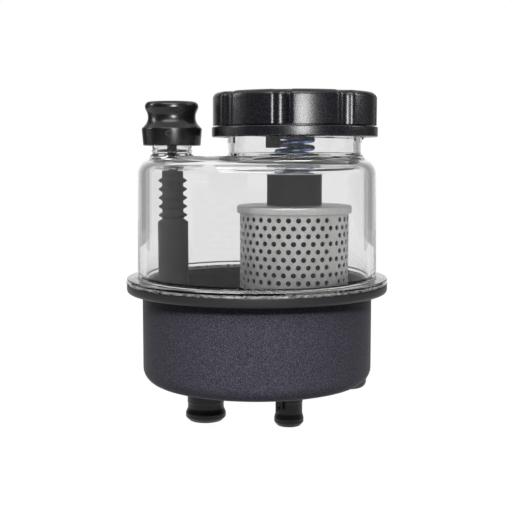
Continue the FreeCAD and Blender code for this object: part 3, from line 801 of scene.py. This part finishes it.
class RESERVOIR_OT_filler_cap(bpy.types.Operator):
    """Model the lobed screw cap"""
    bl_idname = "reservoir.filler_cap"
    bl_label = "Filler cap"

    def execute(self, context):
        size = sizes()
        waist_inset = 0.001
        plug_clearance, plug_wall, plug_length = 0.0005, 0.0024, 0.007
        hub_radius, hub_length, hub_steps = 0.005, 0.0079, 48
        rim = size.flange_height + size.weld_height + size.cover_height + size.neck_height
        skirt = rim - size.cap_skirt
        underside = rim + size.gasket
        top = underside + size.cap_top
        bore = size.neck_radius + size.thread_room
        rim_top = skirt + size.cap_rim_height
        grip_low = rim_top + size.rim_gap
        grip = self.prism("cap_grip", grip_low, top)
        ring = turned("cap_ring", rounded([
            (0, skirt),
            (size.cap_rim_radius, skirt, 0.0008),
            (size.cap_rim_radius, rim_top, 0.0009),
            (0, rim_top),
        ]), size.filter_x)
        combine(grip, ring, "UNION")
        waist = rod("cap_waist", size.lobe_radius - size.groove_depth - waist_inset, rim_top - waist_inset,
                    grip_low + waist_inset, size.filter_x, 0.0, TURN_STEPS)
        combine(grip, waist, "UNION")
        hollow = rod("cap_bore", bore, skirt - CUT_MARGIN, underside, size.filter_x, 0.0, TURN_STEPS)
        combine(grip, hollow, "DIFFERENCE")
        plug_radius = size.neck_radius - size.neck_wall - plug_clearance
        plug = tube("cap_plug", plug_radius - plug_wall, plug_radius, underside - plug_length,
                    underside + OVERLAP, size.filter_x)
        combine(grip, plug, "UNION")
        hub = rod("cap_hub", hub_radius, underside - hub_length, underside + OVERLAP,
                  size.filter_x, 0.0, hub_steps)
        combine(grip, hub, "UNION")
        finish_piece(grip, "cap", "cap_plastic", "cap", "filler_cap")
        return {"FINISHED"}

    def outline(self):
        """Points round the lobed grip: round grooves, rounded lobe edges, lobes on one circle."""
        size = sizes()
        edge_steps, groove_steps, lobe_steps = 7, 12, 14
        deep = size.lobe_radius - size.groove_depth + size.groove_round
        near = size.lobe_radius - size.lobe_edge
        reach = size.groove_round + size.lobe_edge
        half = math.acos((near ** 2 + deep ** 2 - reach ** 2) / (2 * near * deep))
        step = 2 * math.pi / size.lobe_count

        def polar(distance, turn):
            return Vector((size.filter_x + distance * math.sin(turn), -distance * math.cos(turn)))

        def arc(centre, start, end, radius, steps):
            first = start - centre
            sweep = first.angle_signed(end - centre)
            points = []
            for index in range(steps):
                turn = -sweep * index / steps
                points.append(centre + Vector((
                    first.x * math.cos(turn) - first.y * math.sin(turn),
                    first.x * math.sin(turn) + first.y * math.cos(turn),
                )).normalized() * radius)
            return points

        middle = polar(0, 0)
        points = []
        for index in range(size.lobe_count):
            turn = size.lobe_phase + index * step
            groove = polar(deep, turn)
            left = polar(near, turn - half)
            right = polar(near, turn + half)
            left_foot = groove + (left - groove).normalized() * size.groove_round
            right_foot = groove + (right - groove).normalized() * size.groove_round
            lobe_start = polar(size.lobe_radius, turn + half)
            lobe_end = polar(size.lobe_radius, turn + step - half)
            points += arc(left, polar(size.lobe_radius, turn - half), left_foot, size.lobe_edge, edge_steps)
            points += arc(groove, left_foot, right_foot, size.groove_round, groove_steps)
            points += arc(right, right_foot, lobe_start, size.lobe_edge, edge_steps)
            points += arc(middle, lobe_start, lobe_end, size.lobe_radius, lobe_steps)
        return points

    def prism(self, name, low, high):
        """The grip raised from its outline, with a rounded top edge."""
        edge_steps = 7
        points = [Vector((x, y, low)) for x, y in self.outline()]
        points.append(points[0].copy())
        piece = wire(name, points)
        bpy.ops.mesh.edge_face_add()
        bpy.ops.mesh.extrude_region_move(TRANSFORM_OT_translate={"value": (0, 0, high - low)})
        bpy.ops.mesh.region_to_loop()
        bpy.ops.mesh.bevel(
            offset=sizes().cap_round, segments=edge_steps, clamp_overlap=False, affect="EDGES",
        )
        close_skin()
        leave_edit()
        return piece


class RESERVOIR_OT_dipstick(bpy.types.Operator):
    """Model the dipstick's cap and gauge stem"""
    bl_idname = "reservoir.dipstick"
    bl_label = "Dipstick"

    def execute(self, context):
        size = sizes()
        seat_gap = 0.0016
        neck_top = size.flange_height + size.weld_height + size.cover_height + size.gauge_neck_height
        seat = neck_top + seat_gap
        self.grip(neck_top, seat)
        self.stem(seat)
        return {"FINISHED"}

    def grip(self, neck_top, seat):
        """The waisted cap with a ring below and a gate mark on the ring's front."""
        size = sizes()
        overhang, ring_height, cap_height = 0.0068, 0.0104, 0.0268
        skirt_radius, ring_radius, waist_radius, head_radius = 0.0175, 0.0184, 0.0131, 0.0163
        waist_rise, head_height, dish_radius, dish_depth = 0.0056, 0.004, 0.0040, 0.0004
        gate_drop = 0.0032
        bore = size.gauge_neck + 0.0012
        skirt = neck_top - overhang
        ring_top = skirt + ring_height
        cap_top = skirt + cap_height
        cap = turned("dipstick_grip", rounded([
            (0, seat),
            (bore, seat),
            (bore, skirt),
            (skirt_radius, skirt, 0.0009),
            (ring_radius, ring_top, 0.0012),
            (waist_radius, ring_top + waist_rise, 0.0072),
            (head_radius, cap_top - head_height, 0.0016),
            (head_radius, cap_top, 0.0028),
            (dish_radius, cap_top - dish_depth),
            (0, cap_top - dish_depth),
        ]), size.gauge_x, 0.0, NECK_STEPS)
        combine(cap, self.gate_mark(ring_top - gate_drop), "DIFFERENCE")
        finish_piece(cap, "gauge", "gauge_plastic", "dipstick", "dipstick_cap")

    def stem(self, seat):
        """The stem with its plug, thin shaft, ribs and thick gauge."""
        low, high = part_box("gauge_stem")
        pin, plug, shaft, core, crest, gauge = 0.0045, 0.0096, 0.003, 0.0066, 0.0089, 0.0095
        plug_length, shaft_length, plain_length = 0.0056, 0.015, 0.009
        rib_count, rib_pitch, rib_foot, rib_crest = 5, 0.00535, 0.0018, 0.0003
        gauge_drop, gauge_ease, arc_steps = 0.0042, 0.002, 4
        plug_low = seat - plug_length
        body = plug_low - shaft_length
        outline = [
            (0, high[2]),
            (pin, high[2]),
            (pin, seat),
            (plug, seat),
            (plug, plug_low, 0.0008),
            (shaft, plug_low, 0.0008),
            (shaft, body, 0.0008),
            (core, body, 0.0012),
        ]
        first_rib = body - plain_length
        for index in range(rib_count):
            rib = first_rib - index * rib_pitch
            outline += [
                (core, rib + rib_foot, 0.0005),
                (crest, rib + rib_crest, 0.0002),
                (crest, rib - rib_crest, 0.0002),
                (core, rib - rib_foot, 0.0005),
            ]
        gauge_top = first_rib - (rib_count - 1) * rib_pitch - gauge_drop
        outline += [
            (core, gauge_top + gauge_ease, 0.0006),
            (gauge, gauge_top, 0.0008),
            (gauge, low[2], 0.0006),
            (0, low[2]),
        ]
        stem = turned("gauge_rod", rounded(outline, arc_steps), sizes().gauge_x, 0.0, NIPPLE_STEPS)
        finish_piece(stem, "inner", "inner_plastic", "dipstick", "gauge_stem")

    def gate_mark(self, height):
        """The round gate mark on the front of the dipstick cap's ring."""
        gate_steps = 32
        place = (sizes().gauge_x - 0.0005, -0.0180, height)
        gate = cross_rod("gate", 0.0019, 0.001, place, gate_steps)
        combine(gate, cross_rod("gate_pin", 0.0009, 0.003, place, gate_steps), "DIFFERENCE")
        return gate


class RESERVOIR_OT_filter(bpy.types.Operator):
    """Model the filter's perforated screen, top cap and post"""
    bl_idname = "reservoir.filter"
    bl_label = "Filter"

    def execute(self, context):
        size = sizes()
        screen_sheet, lid_sheet, lid_margin, post_wall = 0.0007, 0.0008, 0.004, 0.0026
        low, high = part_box("filter_screen")
        radius = (high[0] - low[0]) / 2
        cap_low, cap_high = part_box("filter_top_cap")
        cap_radius = (cap_high[0] - cap_low[0]) / 2
        screen = tube("screen_sheet", radius - screen_sheet, radius, low[2], high[2],
                      size.filter_x, 4 * size.screen_holes)
        self.punch(screen, radius, cap_low[2] - size.screen_margin)
        finish_piece(screen, "steel", "filter_steel", "housing", "filter_screen")
        top_cap = turned("filter_lid", rounded([
            (0, cap_high[2]),
            (cap_radius - lid_margin, cap_high[2]),
            (cap_radius, cap_high[2], 0.0013),
            (cap_radius, cap_low[2], 0.0003),
            (cap_radius - lid_sheet, cap_low[2]),
            (cap_radius - lid_sheet, cap_high[2] - lid_sheet),
            (0, cap_high[2] - lid_sheet),
        ]), size.filter_x)
        finish_piece(top_cap, "steel", "filter_steel", "housing", "filter_top_cap")
        post_low, post_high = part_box("spring_post")
        post_radius = (post_high[0] - post_low[0]) / 2
        post = turned("spring_pillar", rounded([
            (post_radius - post_wall, post_low[2]),
            (post_radius, post_low[2]),
            (post_radius, post_high[2], 0.0006),
            (0, post_high[2]),
        ]), size.filter_x, 0.0, NECK_STEPS)
        finish_piece(post, "inner", "inner_plastic", "housing", "spring_post")
        return {"FINISHED"}

    def punch(self, screen, radius, first_row):
        """Cuts staggered rows of round holes, which start and end at the sheet's lap."""
        size = sizes()
        hole_steps, punch_length = 14, 0.004
        centre = (size.filter_x, 0, 0)
        for row in range(size.screen_rows):
            full = row % 2
            start = size.screen_seam + (0 if full else size.screen_step / 2)
            place = (size.filter_x, -radius, first_row - row * size.screen_pitch)
            punches = cross_rod("punches", size.screen_hole, punch_length, place, hole_steps)
            edit(punches)
            bpy.ops.transform.rotate(value=-start, orient_axis="Z", center_override=centre)
            for _ in range(size.screen_holes - 2 + full):
                bpy.ops.mesh.duplicate()
                bpy.ops.transform.rotate(value=-size.screen_step, orient_axis="Z", center_override=centre)
            leave_edit()
            combine(screen, punches, "DIFFERENCE")


class RESERVOIR_OT_spring(bpy.types.Operator):
    """Model the filter spring as a coil with ground ends"""
    bl_idname = "reservoir.spring"
    bl_label = "Spring"

    def execute(self, context):
        size = sizes()
        wire_steps, turn_steps = 20, 40
        low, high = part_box("filter_spring")
        start = low[2] - size.spring_pitch
        deselect()
        bpy.ops.mesh.primitive_circle_add(
            vertices=wire_steps, radius=size.spring_wire / 2, location=(size.spring_radius, 0, start),
            rotation=ALONG_Y,
        )
        coil = name_piece("spring_coil")
        turns = math.ceil((high[2] - start) / size.spring_pitch) + 1
        wind(coil, size.spring_pitch, turns, turn_steps)
        edit(coil)
        for height, way in ((low[2], -1), (high[2], 1)):
            bpy.ops.mesh.select_all(action="SELECT")
            bpy.ops.mesh.bisect(
                plane_co=(size.filter_x, 0, height), plane_no=(0, 0, way), clear_outer=True, use_fill=True,
            )
        close_skin()
        leave_edit()
        finish_piece(coil, "zinc", "spring_steel", None, "filter_spring")
        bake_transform(coil)
        return {"FINISHED"}


INNER_FINISHES = {
    "baffle_plate": "baffle", "return_pipe": "inner", "spring_retainer": "inner",
    "pipe_seal": "rubber", "cap_gasket": "rubber", "filter_grommet": "rubber", "dipstick_seal": "rubber",
    "filter_pleats": "paper", "filter_core": "steel", "filter_bottom_cap": "steel",
    "spring_plate": "steel", "retainer_clip": "zinc",
}


class RESERVOIR_OT_inner_pieces(bpy.types.Operator):
    """Give the solids that stay their finishes"""
    bl_idname = "reservoir.inner_pieces"
    bl_label = "Inner pieces"

    def execute(self, context):
        for node, finish in INNER_FINISHES.items():
            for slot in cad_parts[node].material_slots:
                slot.material = FINISHES[finish]
        return {"FINISHED"}


# Stage

def backdrop_rays(nodes, links):
    """1 for rays that see the backdrop itself, in reflections and through the clear cover too."""
    path = nodes.new("ShaderNodeLightPath")
    total = None
    for name in ("Is Camera Ray", "Is Glossy Ray", "Is Transmission Ray"):
        if total is None:
            total = path.outputs[name]
            continue
        more = nodes.new("ShaderNodeMath")
        more.operation = "MAXIMUM"
        links.new(total, more.inputs[0])
        links.new(path.outputs[name], more.inputs[1])
        total = more.outputs[0]
    return total


def card_finish(name, glow):
    """A card with no shine, of one even grey."""
    finish, nodes, links, shader = new_finish(name)
    shader.inputs["Base Color"].default_value = (0, 0, 0, 1.0)
    shader.inputs["Specular IOR Level"].default_value = 0.0
    shader.inputs["Emission Color"].default_value = (1, 1, 1, 1)
    shader.inputs["Emission Strength"].default_value = glow
    return finish


GRIPS = ("cap_grip", "dipstick_grip")
KEY_LAMP = ("key", (-0.12, -0.95, 0.90), 1.3, 0.6, 16.0)
LINKED_LAMPS = (
    ("left_strip", (-0.75, 0.05, 0.22), 0.10, 0.7, 3.0, GRIPS),
    ("right_strip", (0.75, 0.0, 0.22), 0.10, 0.7, 3.0, GRIPS),
    ("flash", (0.15, -0.85, 0.17), 0.14, 0.20, 11.0, (*GRIPS, "spring_coil")),
    ("bowl_flash", (0.05, -0.80, 0.42), 0.20, 0.12, 7.5, ("bowl_shell",)),
)
LAMP_TARGET = Vector((0, 0, 0.02))
AMBIENT = 0.06
FLOOR_GLOW = 1.13
FLOOR_GLOW_SHARE = 0.88
CARD_GLOW = 0.42
DRAPE_GLOW = 0.06
CAMERA_PLACE = (-0.0006, -0.640, 0.0833)
CAMERA_PITCH = math.radians(5.52)
FOCAL_PX = 1040.0
FRAME_PX = 512.0


class RESERVOIR_OT_stage(bpy.types.Operator):
    """Set up the pale floor, the soft lights and the camera"""
    bl_idname = "reservoir.stage"
    bl_label = "Stage"

    def execute(self, context):
        self.backdrop(context.scene)
        self.floor()
        self.cards()
        self.lamp(*KEY_LAMP)
        self.drape()
        for *lamp, lit in LINKED_LAMPS:
            self.only_on(self.lamp(*lamp), lit)
        self.camera(context.scene)
        context.scene.view_settings.view_transform = "Standard"
        for name in ("max_bounces", "glossy_bounces", "transmission_bounces"):
            setattr(context.scene.cycles, name, CLEAR_BOUNCES)
        return {"FINISHED"}

    def backdrop(self, scene):
        """White where it is seen, and a faint light elsewhere."""
        world = bpy.data.worlds.new("studio")
        scene.world = world
        world.use_nodes = True
        nodes = world.node_tree.nodes
        links = world.node_tree.links
        nodes.clear()
        mix = nodes.new("ShaderNodeMixShader")
        for socket, strength in ((1, AMBIENT), (2, 1.0)):
            light = nodes.new("ShaderNodeBackground")
            light.inputs["Strength"].default_value = strength
            light.inputs["Color"].default_value = (1, 1, 1, 1)
            links.new(light.outputs[0], mix.inputs[socket])
        output = nodes.new("ShaderNodeOutputWorld")
        links.new(backdrop_rays(nodes, links), mix.inputs[0])
        links.new(mix.outputs[0], output.inputs["Surface"])

    def floor(self):
        drop = 0.0005
        deselect()
        bpy.ops.mesh.primitive_plane_add(size=12.0, location=(0, 0, CAD_BOX[0][2] - drop))
        floor = name_piece("studio_floor")
        finish, nodes, links, shader = new_finish("studio_floor")
        shader.inputs["Base Color"].default_value = (*colours().floor, 1.0)
        shader.inputs["Roughness"].default_value = 0.9
        glow = nodes.new("ShaderNodeEmission")
        glow.inputs["Strength"].default_value = FLOOR_GLOW
        mix = nodes.new("ShaderNodeMixShader")
        share = nodes.new("ShaderNodeMath")
        share.operation = "MULTIPLY"
        share.inputs[1].default_value = FLOOR_GLOW_SHARE
        links.new(backdrop_rays(nodes, links), share.inputs[0])
        links.new(share.outputs[0], mix.inputs[0])
        links.new(shader.outputs[0], mix.inputs[1])
        links.new(glow.outputs[0], mix.inputs[2])
        links.new(mix.outputs[0], nodes["Material Output"].inputs["Surface"])
        floor.data.materials.append(finish)

    def cards(self):
        """Grey cards behind the object, out of the picture, that draw the clear wall's edges."""
        finish = card_finish("grey_card", CARD_GLOW)
        for name, side in (("left_card", -1), ("right_card", 1)):
            deselect()
            bpy.ops.mesh.primitive_plane_add(
                size=1.0, location=(side * 0.875, 0.85, 0.36), rotation=ALONG_Y, scale=(1.0, 0.88, 1.0),
            )
            card = name_piece(name)
            card.data.materials.append(finish)
            self.only_mirrored(card)

    def only_mirrored(self, card):
        """Keeps a card out of the picture and the light, so that only reflections and refractions show it."""
        card.visible_camera = False
        card.visible_diffuse = False
        card.visible_shadow = False

    def drape(self):
        """A dark drape round the camera, seen only in reflections, so that the clear front stays clear."""
        radius, tall, open_back, steps = 0.75, 0.7, 0.55, 96
        deselect()
        bpy.ops.mesh.primitive_cylinder_add(
            vertices=steps, radius=radius, depth=tall, end_fill_type="NOTHING",
            location=(0, 0, CAD_BOX[0][2] + tall / 2),
        )
        drape = name_piece("drape")
        edit(drape)
        bpy.ops.mesh.bisect(plane_co=(0, open_back, 0), plane_no=(0, 1, 0), clear_outer=True)
        leave_edit()
        drape.data.materials.append(card_finish("drape", DRAPE_GLOW))
        drape.visible_transmission = False
        self.only_mirrored(drape)

    def only_on(self, lamp, names):
        """Limits a lamp to the named pieces."""
        lit = bpy.data.collections.new(lamp.name + "_lit")
        for name in names:
            lit.objects.link(bpy.data.objects[name])
        lamp.light_linking.receiver_collection = lit

    def lamp(self, name, place, width, height, power):
        deselect()
        bpy.ops.object.light_add(type="AREA", location=place)
        lamp = bpy.context.object
        lamp.name = name
        lamp.data.energy = power
        lamp.data.shape = "RECTANGLE"
        lamp.data.size = width
        lamp.data.size_y = height
        lamp.rotation_euler = (LAMP_TARGET - Vector(place)).to_track_quat("-Z", "Y").to_euler()
        return lamp

    def camera(self, scene):
        deselect()
        bpy.ops.object.camera_add(location=CAMERA_PLACE, rotation=(math.pi / 2 - CAMERA_PITCH, 0, 0))
        camera = bpy.context.object
        camera.data.sensor_width = 36.0
        camera.data.lens = FOCAL_PX / FRAME_PX * camera.data.sensor_width
        camera.data.clip_start = 0.01
        scene.camera = camera


PIECE_OPERATORS = (
    RESERVOIR_OT_bowl,
    RESERVOIR_OT_clear_cover,
    RESERVOIR_OT_filler_cap,
    RESERVOIR_OT_dipstick,
    RESERVOIR_OT_filter,
    RESERVOIR_OT_spring,
    RESERVOIR_OT_inner_pieces,
    RESERVOIR_OT_stage,
)


class RESERVOIR_PT_panel(bpy.types.Panel):
    """Lists the reservoir's operators"""
    bl_idname = "RESERVOIR_PT_panel"
    bl_label = "Hydraulic oil reservoir"
    bl_space_type = "VIEW_3D"
    bl_region_type = "UI"
    bl_category = "Reservoir"

    def draw(self, context):
        for operator in PIECE_OPERATORS:
            self.layout.operator(operator.bl_idname)


CLASSES = (ReservoirSizes, ReservoirColours, *PIECE_OPERATORS, RESERVOIR_PT_panel)


def register():
    for cls in CLASSES:
        bpy.utils.register_class(cls)
    bpy.types.Scene.reservoir_sizes = PointerProperty(type=ReservoirSizes)
    bpy.types.Scene.reservoir_colours = PointerProperty(type=ReservoirColours)


def unregister():
    del bpy.types.Scene.reservoir_colours
    del bpy.types.Scene.reservoir_sizes
    for cls in reversed(CLASSES):
        bpy.utils.unregister_class(cls)


def main():
    register()
    make_finishes()
    bpy.ops.reservoir.bowl()
    bpy.ops.reservoir.clear_cover()
    bpy.ops.reservoir.filler_cap()
    bpy.ops.reservoir.dipstick()
    bpy.ops.reservoir.filter()
    bpy.ops.reservoir.spring()
    bpy.ops.reservoir.inner_pieces()
    bpy.ops.reservoir.stage()


if __name__ == "__main__":
    main()
